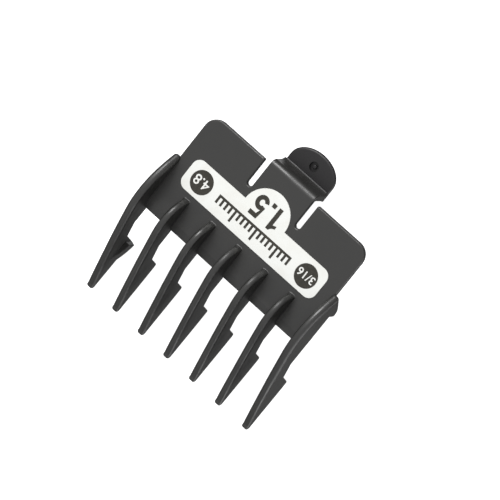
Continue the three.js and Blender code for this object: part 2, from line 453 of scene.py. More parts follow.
    def round_edges(
        self,
        piece: bpy.types.Object,
        radius_at: Callable[[Vector, Vector, bool], float],
        segments: int = 5,
        sharp: float = 20,
    ) -> None:
        """Rounds a slab's edges by a radius that changes from place to place.

        Args:
            piece: The piece.
            radius_at: Gives the radius in millimetres at an edge's middle, from that point, from the
                direction that the slab's rim faces there and from whether the edge crosses the rim.
            segments: How many faces go round each edge.
            sharp: The least angle, in degrees, at which an edge counts as one.
        """
        shape = bmesh.new()
        shape.from_mesh(piece.data)
        radii = []
        for edge in shape.edges:
            if edge.calc_face_angle(0) < math.radians(sharp):
                radii.append(0.0)
                continue
            sides = sorted(edge.link_faces, key=lambda face: len(face.verts))
            crosses = len(sides[-1].verts) <= 4
            middle = self.drawing.read((edge.verts[0].co + edge.verts[1].co) / 2)
            radii.append(radius_at(middle, sides[0].normal, crosses))
        shape.free()
        largest = max(radii)
        weights = piece.data.attributes.new("bevel_weight_edge", "FLOAT", "EDGE")
        weights.data.foreach_set("value", [radius / largest for radius in radii])
        self.apply(
            piece,
            "BEVEL",
            limit_method="WEIGHT",
            width=largest * MM,
            segments=segments,
            use_clamp_overlap=False,
            miter_outer="MITER_ARC",
        )

    def carve(self, piece: bpy.types.Object, tool: bpy.types.Object, join: bool = False) -> None:
        """Cuts a tool's shape out of a piece, or joins it on, and deletes the tool.

        Args:
            piece: The piece.
            tool: The other solid.
            join: Whether the tool is joined on.
        """
        operation = "UNION" if join else "DIFFERENCE"
        self.apply(piece, "BOOLEAN", object=tool, operation=operation, solver="EXACT")
        bpy.data.objects.remove(tool)

    def settle(self, piece: bpy.types.Object, crease: float = 32) -> bpy.types.Object:
        """Merges doubles, checks the normals and shades a finished mesh.

        Args:
            piece: The piece.
            crease: The angle in degrees from which an edge stays sharp.

        Returns:
            The piece, at the origin, unturned and unscaled.
        """
        self.edit(piece)
        bpy.ops.mesh.remove_doubles(threshold=FINE)
        bpy.ops.mesh.normals_make_consistent(inside=False)
        self.leave()
        self.pick(piece)
        bpy.ops.object.transform_apply(location=True, rotation=True, scale=True)
        bpy.ops.object.shade_smooth_by_angle(angle=math.radians(crease))
        self.apply(piece, "WEIGHTED_NORMAL", keep_sharp=True)
        return piece

    def lettering(
        self,
        name: str,
        body: str,
        size: float,
        weight: float,
        x: float,
        y: float,
        z: float,
        depth: float,
    ) -> bpy.types.Object:
        """Makes flat figures that read along -X, as thin solids on the label.

        Args:
            name: The piece's name.
            body: The figures.
            size: The type size in millimetres.
            weight: How much the strokes are thickened, in millimetres.
            x: The middle of the figures along X.
            y: The middle of the figures along Y.
            z: The level of their underside.
            depth: Their thickness.

        Returns:
            The figures as one closed mesh.
        """
        self.clear()
        bpy.ops.object.text_add(location=(0, 0, 0))
        text = bpy.context.object
        text.name = name
        text.data.body = body
        text.data.size = size * MM
        text.data.offset = weight * MM
        text.data.extrude = depth / 2 * MM
        text.data.resolution_u = 6
        bpy.ops.object.convert(target="MESH")
        piece = bpy.context.object
        corners = [Vector(corner) for corner in piece.bound_box]
        centre = sum(corners, Vector()) / len(corners)
        turn = Matrix.Rotation(math.pi, 4, "Z")
        piece.matrix_world = Matrix.Translation(self.drawing.place(x, y, z + depth / 2)) @ turn
        piece.matrix_world = piece.matrix_world @ Matrix.Translation(-centre)
        bpy.context.view_layer.update()
        return self.settle(piece)


# ---- Finishes ----


def new_group(name: str, inputs: dict[str, float], outputs: dict[str, str]) -> bpy.types.NodeTree:
    """Makes an empty shader node group.

    Args:
        name: The group's name.
        inputs: Its number inputs, with their usual values.
        outputs: Its outputs, with their socket types.

    Returns:
        The group, with its input and output nodes in place.
    """
    group = bpy.data.node_groups.new(name, "ShaderNodeTree")
    for label, value in inputs.items():
        socket = group.interface.new_socket(label, in_out="INPUT", socket_type="NodeSocketFloat")
        socket.default_value = value
    for label, kind in outputs.items():
        group.interface.new_socket(label, in_out="OUTPUT", socket_type=kind)
    group.nodes.new("NodeGroupInput")
    group.nodes.new("NodeGroupOutput")
    return group


def node(
    tree: bpy.types.NodeTree,
    kind: str,
    settings: dict[str, object] | None = None,
    **values: object,
) -> bpy.types.Node:
    """Adds a node to a tree.

    Args:
        tree: The tree.
        kind: The node's type, without its "ShaderNode".
        settings: The node's own properties.
        **values: Values for its input sockets; an underscore stands for a space.

    Returns:
        The node.
    """
    made = tree.nodes.new("ShaderNode" + kind)
    for key, value in (settings or {}).items():
        setattr(made, key, value)
    for key, value in values.items():
        made.inputs[key.replace("_", " ")].default_value = value
    return made


def ramp(
    tree: bpy.types.NodeTree,
    low: float,
    high: float,
    source: bpy.types.NodeSocket,
    start: float = 0.0,
    end: float = 1.0,
) -> bpy.types.NodeSocket:
    """Maps a value smoothly from one range to another.

    Args:
        tree: The tree.
        low: Where the value's range starts.
        high: Where it ends.
        source: The value's socket.
        start: What the range's start becomes.
        end: What its end becomes.

    Returns:
        The result's socket.
    """
    made = node(tree, "MapRange", {"interpolation_type": "SMOOTHSTEP"}, From_Min=low, From_Max=high)
    made.inputs["To Min"].default_value = start
    made.inputs["To Max"].default_value = end
    tree.links.new(source, made.inputs["Value"])
    return made.outputs["Result"]


class SurfaceEffects:
    """The node groups that the finishes share."""

    def __init__(self) -> None:
        """Builds the groups."""
        self.grain = self.build_grain()
        self.handling = self.build_handling()

    def build_grain(self) -> bpy.types.NodeTree:
        """A moulded surface's fine spark-eroded grain over a slow waviness.

        Returns:
            The group, which puts out a height from 0 to 1.
        """
        inputs = {"Fineness": 4500.0, "Waviness": 0.3}
        group = new_group("moulded_grain", inputs, {"Height": "NodeSocketFloat"})
        into = group.nodes["Group Input"]
        place = node(group, "TexCoord")
        fine = node(group, "TexNoise", Detail=3.0, Roughness=0.6)
        slow = node(group, "TexNoise", Scale=160.0, Detail=2.0)
        mix = node(group, "Mix", {"data_type": "FLOAT"})
        group.links.new(place.outputs["Object"], fine.inputs["Vector"])
        group.links.new(place.outputs["Object"], slow.inputs["Vector"])
        group.links.new(into.outputs["Fineness"], fine.inputs["Scale"])
        group.links.new(into.outputs["Waviness"], mix.inputs["Factor"])
        group.links.new(fine.outputs["Fac"], mix.inputs["A"])
        group.links.new(slow.outputs["Fac"], mix.inputs["B"])
        group.links.new(mix.outputs["Result"], group.nodes["Group Output"].inputs["Height"])
        return group

    def build_handling(self) -> bpy.types.NodeTree:
        """Marks of handling: soft smears and a few fine scuffs.

        Returns:
            The group, which puts out a mask from 0 to 1 for each.
        """
        outputs = {"Smears": "NodeSocketFloat", "Scuffs": "NodeSocketFloat"}
        group = new_group("handling_marks", {"Smear_Scale": 90.0, "Scuff_Scale": 420.0}, outputs)
        into = group.nodes["Group Input"]
        out = group.nodes["Group Output"]
        place = node(group, "TexCoord")
        smear = node(group, "TexNoise", Detail=4.0, Roughness=0.55, Distortion=0.6)
        stretch = node(group, "Mapping", {"vector_type": "POINT"})
        stretch.inputs["Rotation"].default_value = (0.2, 0.1, 0.7)
        stretch.inputs["Scale"].default_value = (1.0, 0.09, 1.0)
        scuff = node(group, "TexNoise", Detail=2.0, Roughness=0.5)
        group.links.new(place.outputs["Object"], smear.inputs["Vector"])
        group.links.new(place.outputs["Object"], stretch.inputs["Vector"])
        group.links.new(stretch.outputs["Vector"], scuff.inputs["Vector"])
        group.links.new(into.outputs["Smear_Scale"], smear.inputs["Scale"])
        group.links.new(into.outputs["Scuff_Scale"], scuff.inputs["Scale"])
        group.links.new(ramp(group, 0.38, 0.68, smear.outputs["Fac"]), out.inputs["Smears"])
        group.links.new(ramp(group, 0.64, 0.72, scuff.outputs["Fac"]), out.inputs["Scuffs"])
        return group


@dataclass(frozen=True)
class Finish:
    """What every finish has: a name, its shader's constants and the tree that it is built in."""

    name: str
    roughness: float
    base: tuple[float, float, float]
    varied: tuple[float, float, float]

    def shader(self) -> tuple[bpy.types.Material, bpy.types.NodeTree, bpy.types.Node]:
        """Starts the material.

        Returns:
            The material, its tree and its Principled BSDF.
        """
        material = bpy.data.materials.new(self.name)
        material.use_nodes = True
        tree = material.node_tree
        return material, tree, tree.nodes["Principled BSDF"]

    def effect(self, tree: bpy.types.NodeTree, group: bpy.types.NodeTree, **values: float) -> bpy.types.Node:
        """Places a shared node group with this finish's own values.

        Args:
            tree: The material's tree.
            group: The group.
            **values: Values for its inputs.

        Returns:
            The group's node.
        """
        made = node(tree, "Group", {"node_tree": group})
        for key, value in values.items():
            made.inputs[key].default_value = value
        return made

    def blend_colour(self, tree: bpy.types.NodeTree, mask: bpy.types.NodeSocket) -> bpy.types.NodeSocket:
        """Mixes the finish's two colours by a mask.

        Args:
            tree: The material's tree.
            mask: The mask's socket.

        Returns:
            The colour's socket.
        """
        mix = node(tree, "Mix", {"data_type": "RGBA"})
        mix.inputs["A"].default_value = (*self.base, 1)
        mix.inputs["B"].default_value = (*self.varied, 1)
        tree.links.new(mask, mix.inputs["Factor"])
        return mix.outputs["Result"]


@dataclass(frozen=True)
class MouldedPlastic(Finish):
    """Satin nylon: a fine grain with soft smears that polish it a little."""

    fineness: float = 4200.0
    depth: float = 0.012
    polish: float = 0.1
    specular: float = 0.5

    def build(self, effects: SurfaceEffects) -> bpy.types.Material:
        """Makes the material.

        Args:
            effects: The shared node groups.

        Returns:
            The material.
        """
        material, tree, shader = self.shader()
        shader.inputs["Specular IOR Level"].default_value = self.specular
        grain = self.effect(tree, effects.grain, Fineness=self.fineness, Waviness=0.25)
        marks = self.effect(tree, effects.handling)
        tree.links.new(self.blend_colour(tree, marks.outputs["Smears"]), shader.inputs["Base Color"])
        low, high = self.roughness - self.polish, self.roughness + self.polish / 2
        gloss = ramp(tree, 0, 1, marks.outputs["Smears"], high, low)
        scuffed = node(tree, "Math", {"operation": "MULTIPLY_ADD"})
        scuffed.inputs[1].default_value = self.polish / 2
        tree.links.new(marks.outputs["Scuffs"], scuffed.inputs[0])
        tree.links.new(gloss, scuffed.inputs[2])
        tree.links.new(scuffed.outputs["Value"], shader.inputs["Roughness"])
        bump = node(tree, "Bump", Strength=1.0, Distance=self.depth * MM)
        tree.links.new(grain.outputs["Height"], bump.inputs["Height"])
        tree.links.new(bump.outputs["Normal"], shader.inputs["Normal"])
        return material


@dataclass(frozen=True)
class LabelFilm(Finish):
    """White printed film: a faint orange-peel gloss and a slight warm unevenness."""

    def build(self, effects: SurfaceEffects) -> bpy.types.Material:
        """Makes the material.

        Args:
            effects: The shared node groups.

        Returns:
            The material.
        """
        material, tree, shader = self.shader()
        grain = self.effect(tree, effects.grain, Fineness=1400.0, Waviness=0.5)
        marks = self.effect(tree, effects.handling, Smear_Scale=220.0)
        tree.links.new(self.blend_colour(tree, marks.outputs["Smears"]), shader.inputs["Base Color"])
        gloss = ramp(tree, 0, 1, marks.outputs["Smears"], self.roughness + 0.06, self.roughness - 0.06)
        tree.links.new(gloss, shader.inputs["Roughness"])
        bump = node(tree, "Bump", Strength=1.0, Distance=0.003 * MM)
        tree.links.new(grain.outputs["Height"], bump.inputs["Height"])
        tree.links.new(bump.outputs["Normal"], shader.inputs["Normal"])
        return material


@dataclass(frozen=True)
class PrintedInk(Finish):
    """Screen ink: dark, slightly thin in places, so that the film warms it."""

    def build(self, effects: SurfaceEffects) -> bpy.types.Material:
        """Makes the material.

        Args:
            effects: The shared node groups.

        Returns:
            The material.
        """
        material, tree, shader = self.shader()
        grain = self.effect(tree, effects.grain, Fineness=2600.0, Waviness=0.2)
        thin = ramp(tree, 0.35, 0.7, grain.outputs["Height"])
        tree.links.new(self.blend_colour(tree, thin), shader.inputs["Base Color"])
        gloss = ramp(tree, 0.3, 0.7, grain.outputs["Height"], self.roughness - 0.05, self.roughness + 0.1)
        tree.links.new(gloss, shader.inputs["Roughness"])
        return material


@dataclass
class Finishes:
    """The materials of the comb."""

    moulding: bpy.types.Material
    tab: bpy.types.Material
    film: bpy.types.Material
    ink: bpy.types.Material

    @classmethod
    def build(cls) -> "Finishes":
        """Builds every material round the shared node groups.

        Returns:
            The finishes.
        """
        effects = SurfaceEffects()
        moulding = MouldedPlastic(
            "satin_black_moulding", 0.42, (0.0115, 0.0112, 0.0102), (0.015, 0.0146, 0.0132), specular=0.84
        )
        tab = MouldedPlastic("tab_black_moulding", 0.38, (0.013, 0.012, 0.013), (0.016, 0.015, 0.016))
        film = LabelFilm("white_label_film", 0.42, (0.87, 0.88, 0.85), (0.84, 0.84, 0.8))
        ink = PrintedInk("dark_label_ink", 0.4, (0.022, 0.02, 0.014), (0.04, 0.035, 0.025))
        return cls(*(finish.build(effects) for finish in (moulding, tab, film, ink)))


def dress(piece: bpy.types.Object, material: bpy.types.Material) -> None:
    """Gives a piece its material.

    Args:
        piece: The piece.
        material: Its material.
    """
    piece.data.materials.clear()
    piece.data.materials.append(material)


# ---- Sub-assemblies ----


@dataclass
class Plate:
    """The slotted base plate, with a bevelled strip along its front edge."""

    workshop: Workshop
    bevel_depth: float = 1.9
    bevel_drop: float = 0.62
    corner_radius: float = 3.2
    shoulder: float = 13.2
    wall_inner: float = 22.6
    tongue_half: float = 6.4
    slot_width: float = 1.45
    slot_end: float = 19.05
    rim_radius: float = 0.38
    edge_radius: float = 0.28
    underside: float = 1.0
    crease: float = 14.0
    sharp: float = 25.0

    @property
    def tongue_root(self) -> float:
        """Where the slots' sides become straight and the tongue's piece takes over."""
        return self.slot_end + self.slot_width / 2

    def outline(self) -> Outline:
        """Plan of the plate without its tongue.

        Returns:
            The outline.
        """
        _, high = self.workshop.drawing.span("base_plate")
        half, depth, corner = high.x, high.y, self.corner_radius
        slot = self.slot_width / 2
        centre = self.tongue_half + slot
        plan = Outline(-self.wall_inner, 0).line(self.wall_inner, 0)
        plan.line(self.wall_inner, self.shoulder).line(half, self.shoulder)
        plan.arc((half - corner, depth - corner), corner, 0, 90)
        plan.line(centre + slot, depth)
        plan.arc((centre, self.tongue_root), slot, 0, -180)
        plan.arc((-centre, self.tongue_root), slot, 0, -180)
        plan.line(-centre - slot, depth)
        plan.arc((corner - half, depth - corner), corner, 90, 180)
        return plan.line(-half, self.shoulder).line(-self.wall_inner, self.shoulder)

    def radius_at(self, place: Vector, _facing: Vector, crosses: bool) -> float:
        """Edge radius: none where the plate runs on into a wall or into the tongue.

        Args:
            place: The edge's middle.
            crosses: Whether the edge runs across the rim.

        Returns:
            The radius in millimetres.
        """
        beside_wall = abs(place.x) > self.wall_inner - NEAR and place.y < self.shoulder + NEAR
        at_tongue = abs(place.x) < self.tongue_half + NEAR and abs(place.y - self.tongue_root) < NEAR
        if beside_wall or at_tongue:
            return 0.0
        if crosses:
            return self.edge_radius
        return self.rim_radius if place.z > -self.underside else self.edge_radius

    def build(self, finishes: Finishes) -> bpy.types.Object:
        """Models and dresses the plate.

        Args:
            finishes: The comb's materials.

        Returns:
            The plate.
        """
        low, high = self.workshop.drawing.span("base_plate")
        plate = self.workshop.slab("slotted_plate", self.outline(), Plane.PLAN, low.z, high.z, steps=8)
        self.workshop.cut(plate, 1, [self.bevel_depth])
        self.workshop.choose(plate, lambda at: at.y < NEAR and at.z > -NEAR)
        bpy.ops.transform.translate(value=(0, 0, -self.bevel_drop * MM))
        self.workshop.leave()
        self.workshop.round_edges(plate, self.radius_at, segments=8, sharp=self.sharp)
        self.workshop.settle(plate, crease=self.crease)
        dress(plate, finishes.moulding)
        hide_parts("base_plate")
        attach(plate, COMB)
        return plate


@dataclass
class Finger:
    """What an inner and an outer tooth share: ridge, tip, toe, ledge and taper."""

    workshop: Workshop
    ridge_break: float = -2.0
    ridge_break_height: float = 4.3
    ridge_fall: float = 0.52
    reach: float = 24.15
    tip_height: float = 1.7
    tip_thickness: float = 1.6
    taper_start: float = -2.0
    ledge_setback: float = 8.6
    ledge_level: float = 4.8
    ledge_toe: float = 10.1
    toe_level: float = 10.1
    toe_radius: float = 0.5
    throat_level: float = 2.25
    throat_length: float = 4.6
    foot_depth: float = 0.3
    rim_radius: float = 0.2
    tip_radius: float = 0.5
    roundness: float = 0.97
    steps: int = 14

    def ridge_line(self, y: float) -> float:
        """Height of the straight line that runs on from the ridge where the root ends."""
        return self.ridge_break_height + self.ridge_fall * (y - self.ridge_break)

    def draw_finger(self, outline: Outline, drop: float) -> Outline:
        """Draws from the ridge's break round the tip to the throat behind the ledge.

        Args:
            outline: The outline so far, which ends at the ridge's break.
            drop: How far the tip, the toe and the ledge hang lower.

        Returns:
            The outline.
        """
        toe = -self.toe_level - drop
        radius = self.tip_height / 2
        tip = radius - self.reach
        middle = (self.ridge_break + tip) / 2
        lean = self.toe_radius * (self.ledge_toe - self.ledge_setback) / (self.toe_level - self.ledge_level)
        outline.bow((middle, self.ridge_line(middle)), tip, toe + self.tip_height)
        outline.arc((tip, toe + radius), radius, 90, 270)
        outline.straight(-self.ledge_toe - self.toe_radius, toe)
        outline.bow((-self.ledge_toe, toe), lean - self.ledge_toe, toe + self.toe_radius)
        outline.line(-self.ledge_setback, -self.ledge_level - drop)
        return outline.line(-self.throat_length, -self.throat_level - drop)

    def radius_at(self, place: Vector, facing: Vector, crosses: bool, full: float) -> float:
        """Edge radius: full along the ridge and round the tip, small along the underside.

        Args:
            place: The edge's middle.
            facing: The direction that the rim faces there.
            crosses: Whether the edge runs across the rim.
            full: The radius along the ridge.

        Returns:
            The radius in millimetres.
        """
        if crosses:
            return self.rim_radius
        behind_tip = (place.y + self.reach) / self.reach * 2
        share = min(1.0, max(0.0, behind_tip))
        away = share * share * (3 - 2 * share)
        root = full if facing.z > -0.25 else self.rim_radius
        return self.tip_radius + (root - self.tip_radius) * away

    def taper(
        self,
        tooth: bpy.types.Object,
        left: float,
        right: float,
        tip_left: float,
        tip_right: float,
    ) -> None:
        """Thins a tooth towards its tip with a cage.

        Args:
            tooth: The tooth.
            left: The root's lower X.
            right: The root's higher X.
            tip_left: The tip's lower X.
            tip_right: The tip's higher X.
        """
        length = self.reach + self.taper_start
        self.workshop.cut(tooth, 1, [self.taper_start - length * n / 4 for n in range(4)])
        place = self.workshop.drawing.place((left + right) / 2, self.taper_start, 0)
        self.workshop.clear()
        bpy.ops.object.add(type="LATTICE", location=place)
        cage = bpy.context.object
        cage.scale = Vector((right - left, 2 * length, 4 * self.toe_level)) * MM
        cage.data.points_u, cage.data.points_v, cage.data.points_w = 2, 3, 2
        cage.data.interpolation_type_u = cage.data.interpolation_type_v = "KEY_LINEAR"
        cage.data.interpolation_type_w = "KEY_LINEAR"
        middle = (left + right) / 2
        front = min(point.co.y for point in cage.data.points)
        for point in cage.data.points:
            if point.co.y <= front:
                edge = tip_left if point.co.x < 0 else tip_right
                point.co_deform.x = (edge - middle) / (right - left)
        bpy.context.view_layer.update()
        self.workshop.apply(tooth, "LATTICE", object=cage)
        bpy.data.objects.remove(cage)


@dataclass
class InnerTeeth(Finger):
    """The five teeth between the outer ones, each with a rib over the plate."""

    plate: Plate = field(kw_only=True)
    names: tuple[str, ...] = ("tooth_2", "tooth_3", "tooth_4", "tooth_5", "tooth_6")
    heel: float = 7.75
    heel_lean: float = 0.9
    heel_rise: float = 4.7
    crown: float = 2.5
    skirt: float = 0.14
    skirt_shares: tuple[float, ...] = (1.0, 0.55, 0.25, 0.0)

    def outline(self) -> Outline:
        """Side outline, with the rib's foot a little inside the plate.

        Returns:
            The outline.
        """
        foot = -self.foot_depth
        side = Outline(0, foot - self.plate.bevel_drop)
        side.line(self.plate.bevel_depth, foot).line(self.heel, foot)
        near = (self.heel - self.heel_lean, self.heel_rise)
        far = (self.crown, self.ridge_line(self.crown))
        side.line(self.heel, 0)
        side.curve(near, far, self.ridge_break, self.ridge_break_height)
        self.draw_finger(side, 0)
        return side.line(0, -self.throat_level)

    def radius_at(self, place: Vector, facing: Vector, crosses: bool, full: float) -> float:
        """Edge radius: none where the rib stands on the plate.

        Args:
            place: The edge's middle.
            facing: The direction that the rim faces there.
            crosses: Whether the edge runs across the rim.
            full: The radius along the ridge.

        Returns:
            The radius in millimetres.
        """
        if place.y > -NEAR and place.z < -NEAR / 10:
            return 0.0
        return super().radius_at(place, facing, crosses, full)

    def build(self, finishes: Finishes) -> list[bpy.types.Object]:
        """Models one tooth, and copies it to the other places.

        Args:
            finishes: The comb's materials.

        Returns:
            The teeth, from left to right.
        """
        shop = self.workshop
        low, high = shop.drawing.span(self.names[0])
        full = (high.x - low.x) / 2
        centre = (high.x + low.x) / 2
        first = shop.slab("ribbed_" + self.names[0], self.outline(), Plane.SIDE, low.x, high.x, self.steps)
        ridge = full * self.roundness
        shop.round_edges(first, lambda *edge: self.radius_at(*edge, ridge), segments=8)
        self.taper(first, low.x, high.x, centre - self.tip_thickness / 2, centre + self.tip_thickness / 2)
        self.flare_foot(first, centre, full)
        shop.settle(first)
        teeth = [first]
        for name in self.names[1:]:
            copy = first.copy()
            copy.data = first.data.copy()
            copy.name = "ribbed_" + name
            bpy.context.scene.collection.objects.link(copy)
            other, _ = shop.drawing.span(name)
            copy.data.transform(Matrix.Translation(Vector((other.x - low.x, 0, 0)) * MM))
            teeth.append(copy)
        for tooth, name in zip(teeth, self.names, strict=True):
            dress(tooth, finishes.moulding)
            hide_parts(name)
            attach(tooth, COMB)
        return teeth

    def flare_foot(self, tooth: bpy.types.Object, centre: float, full: float) -> None:
        """Widens the rib where it meets the plate, as a moulding's fillet does.

        Args:
            tooth: The tooth.
            centre: Its middle X.
            full: Half of its thickness.
        """
        shop = self.workshop
        front = self.plate.bevel_depth
        levels = [self.skirt * share for share in self.skirt_shares]
        shop.cut(tooth, 2, levels)
        for level in levels[1:]:
            out = (self.skirt - level) ** 2 / self.skirt
            shop.choose(tooth, lambda at, z=level: at.y > front and abs(at.z - z) < 2 * NEAR)
            middle = shop.drawing.place(centre, front, level)
            widen = 1 + out / full
            lengthen = 1 + out / (self.heel - front)
            bpy.ops.transform.resize(value=(widen, lengthen, 1), center_override=middle)
            shop.leave()


@dataclass
class OuterTooth(Finger):
    """An outer tooth: side wall, rib, finger and the guide lug behind, in one moulding."""

    side: Side = Side.LEFT
    drop: float = 0.6
    heel: float = 14.2
    heel_height: float = 0.2
    heel_under: Pair = (0.5, 0.8)
    heel_over: Pair = (0.75, 0.55)
    crown: float = 6.0
    plate_thickness: float = 1.5
    lug_rear: float = 13.0
    lug_length: float = 4.5
    lug_slope: float = 0.6
    lug_level: float = 6.1
    lug_radius: float = 1.1
    lug_rim: float = 0.45

    def lug_rear_at(self, level: float) -> float:
        """Y of the lug's rear edge at a level."""
        return self.lug_rear + self.lug_slope * (level + self.plate_thickness)

    def outline(self) -> Outline:
        """Side outline of the wall with its lug.

        Returns:
            The outline.
        """
        wall = -self.throat_level - self.drop
        bottom = -self.lug_level
        front = self.lug_rear - self.lug_length
        shoulder = bottom + self.lug_radius
        side = Outline(front, wall)
        side.straight(front, bottom + self.lug_radius / 2)
        side.bow((front, bottom), front + self.lug_radius / 2, bottom)
        side.bow((self.lug_rear_at(bottom), bottom), self.lug_rear_at(shoulder), shoulder)
        (inward, below), (forward, above) = self.heel_under, self.heel_over
        side.straight(self.heel - inward, self.heel_height - below)
        side.bow((self.heel, self.heel_height), self.heel - forward, self.heel_height + above)
        crown = (self.crown, self.ridge_line(self.crown))
        side.bow(crown, self.ridge_break, self.ridge_break_height)
        return self.draw_finger(side, self.drop)

    def radius_at(self, place: Vector, facing: Vector, crosses: bool, full: float) -> float:
        """Edge radius: small round the lug, and growing up its rear edge to the ridge's.

        Args:
            place: The edge's middle.
            facing: The direction that the rim faces there.
            crosses: Whether the edge runs across the rim.
            full: The radius along the ridge.

        Returns:
            The radius in millimetres.
        """
        on_lug = place.y > self.lug_rear - self.lug_length - 10 * NEAR and place.z < 0
        if crosses or not on_lug:
            return super().radius_at(place, facing, crosses, full)
        rising = min(1.0, max(0.0, (place.z + self.lug_level) / self.lug_level))
        return self.lug_rim + (full - self.lug_rim) * rising**3 * (facing.y > 10 * NEAR)

    def build(self, finishes: Finishes) -> bpy.types.Object:
        """Models and dresses the tooth.

        Args:
            finishes: The comb's materials.

        Returns:
            The tooth.
        """
        shop = self.workshop
        name = f"outer_tooth_{self.side.word}"
        low, high = shop.drawing.span(name)
        ridge = (high.x - low.x) / 2 * self.roundness
        tooth = shop.slab(f"walled_{name}", self.outline(), Plane.SIDE, low.x, high.x, self.steps)
        shop.round_edges(tooth, lambda *edge: self.radius_at(*edge, ridge), segments=8)
        outside = self.tip_thickness
        if self.side is Side.LEFT:
            self.taper(tooth, low.x, high.x, low.x, low.x + outside)
        else:
            self.taper(tooth, low.x, high.x, high.x - outside, high.x)
        shop.settle(tooth)
        dress(tooth, finishes.moulding)
        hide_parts(name, f"guide_lug_{self.side.word}")
        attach(tooth, COMB)
        return tooth


@dataclass
class Gusset:
    """The gusset inside an outer tooth, at the blade's front corner."""

    workshop: Workshop
    side: Side
    reserve: float = 0.45
    embed: float = 0.4
    width: float = 0.9
    heel: float = 0.34
    slope: float = 1.0
    top: float = 6.6
    fullness: float = 0.35
    rim_radius: float = 0.28
    sharp: float = 25.0

    def build(self, finishes: Finishes) -> bpy.types.Object:
        """Models and dresses the gusset.

        Args:
            finishes: The comb's materials.

        Returns:
            The gusset.
        """
        shop = self.workshop
        name = f"corner_gusset_{self.side.word}"
        low, high = shop.drawing.span(name)
        sign = self.side.value
        outer, root = (low.x, high.x) if self.side is Side.LEFT else (high.x, low.x)
        inner = root + sign * self.reserve
        wall = outer + sign * self.embed
        plan = Outline(wall, high.y).line(inner + sign * self.width, high.y)
        plan.line(inner, high.y - self.heel)
        waist = ((inner + outer) / 2 - sign * self.fullness, (high.y + low.y) / 2)
        plan.bow(waist, wall, low.y)
        gusset = shop.slab(f"stop_{name}", plan, Plane.PLAN, low.z, high.z + 1)
        rise = self.slope / self.width
        normal = Vector((sign * rise, 0, -1)).normalized()
        at = shop.drawing.place(inner, high.y, -self.top - self.slope)
        shop.edit(gusset)
        bpy.ops.mesh.bisect(plane_co=at, plane_no=normal, use_fill=True, clear_inner=True, threshold=FINE)
        shop.leave()
        shop.apply(
            gusset,
            "BEVEL",
            limit_method="ANGLE",
            angle_limit=math.radians(self.sharp),
            width=self.rim_radius * MM,
            segments=4,
        )
        shop.settle(gusset)
        dress(gusset, finishes.moulding)
        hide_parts(name)
        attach(gusset, COMB)
        return gusset


@dataclass
class Flexure:
    """Where the latch's tongue bends, from the plate to the tongue's rear."""

    start: Vector
    end: Vector

    def bend(self, piece: bpy.types.Object) -> None:
        """Bakes a finished piece's placement into its mesh."""
        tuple(self.start)
        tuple(self.end)
        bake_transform(piece)


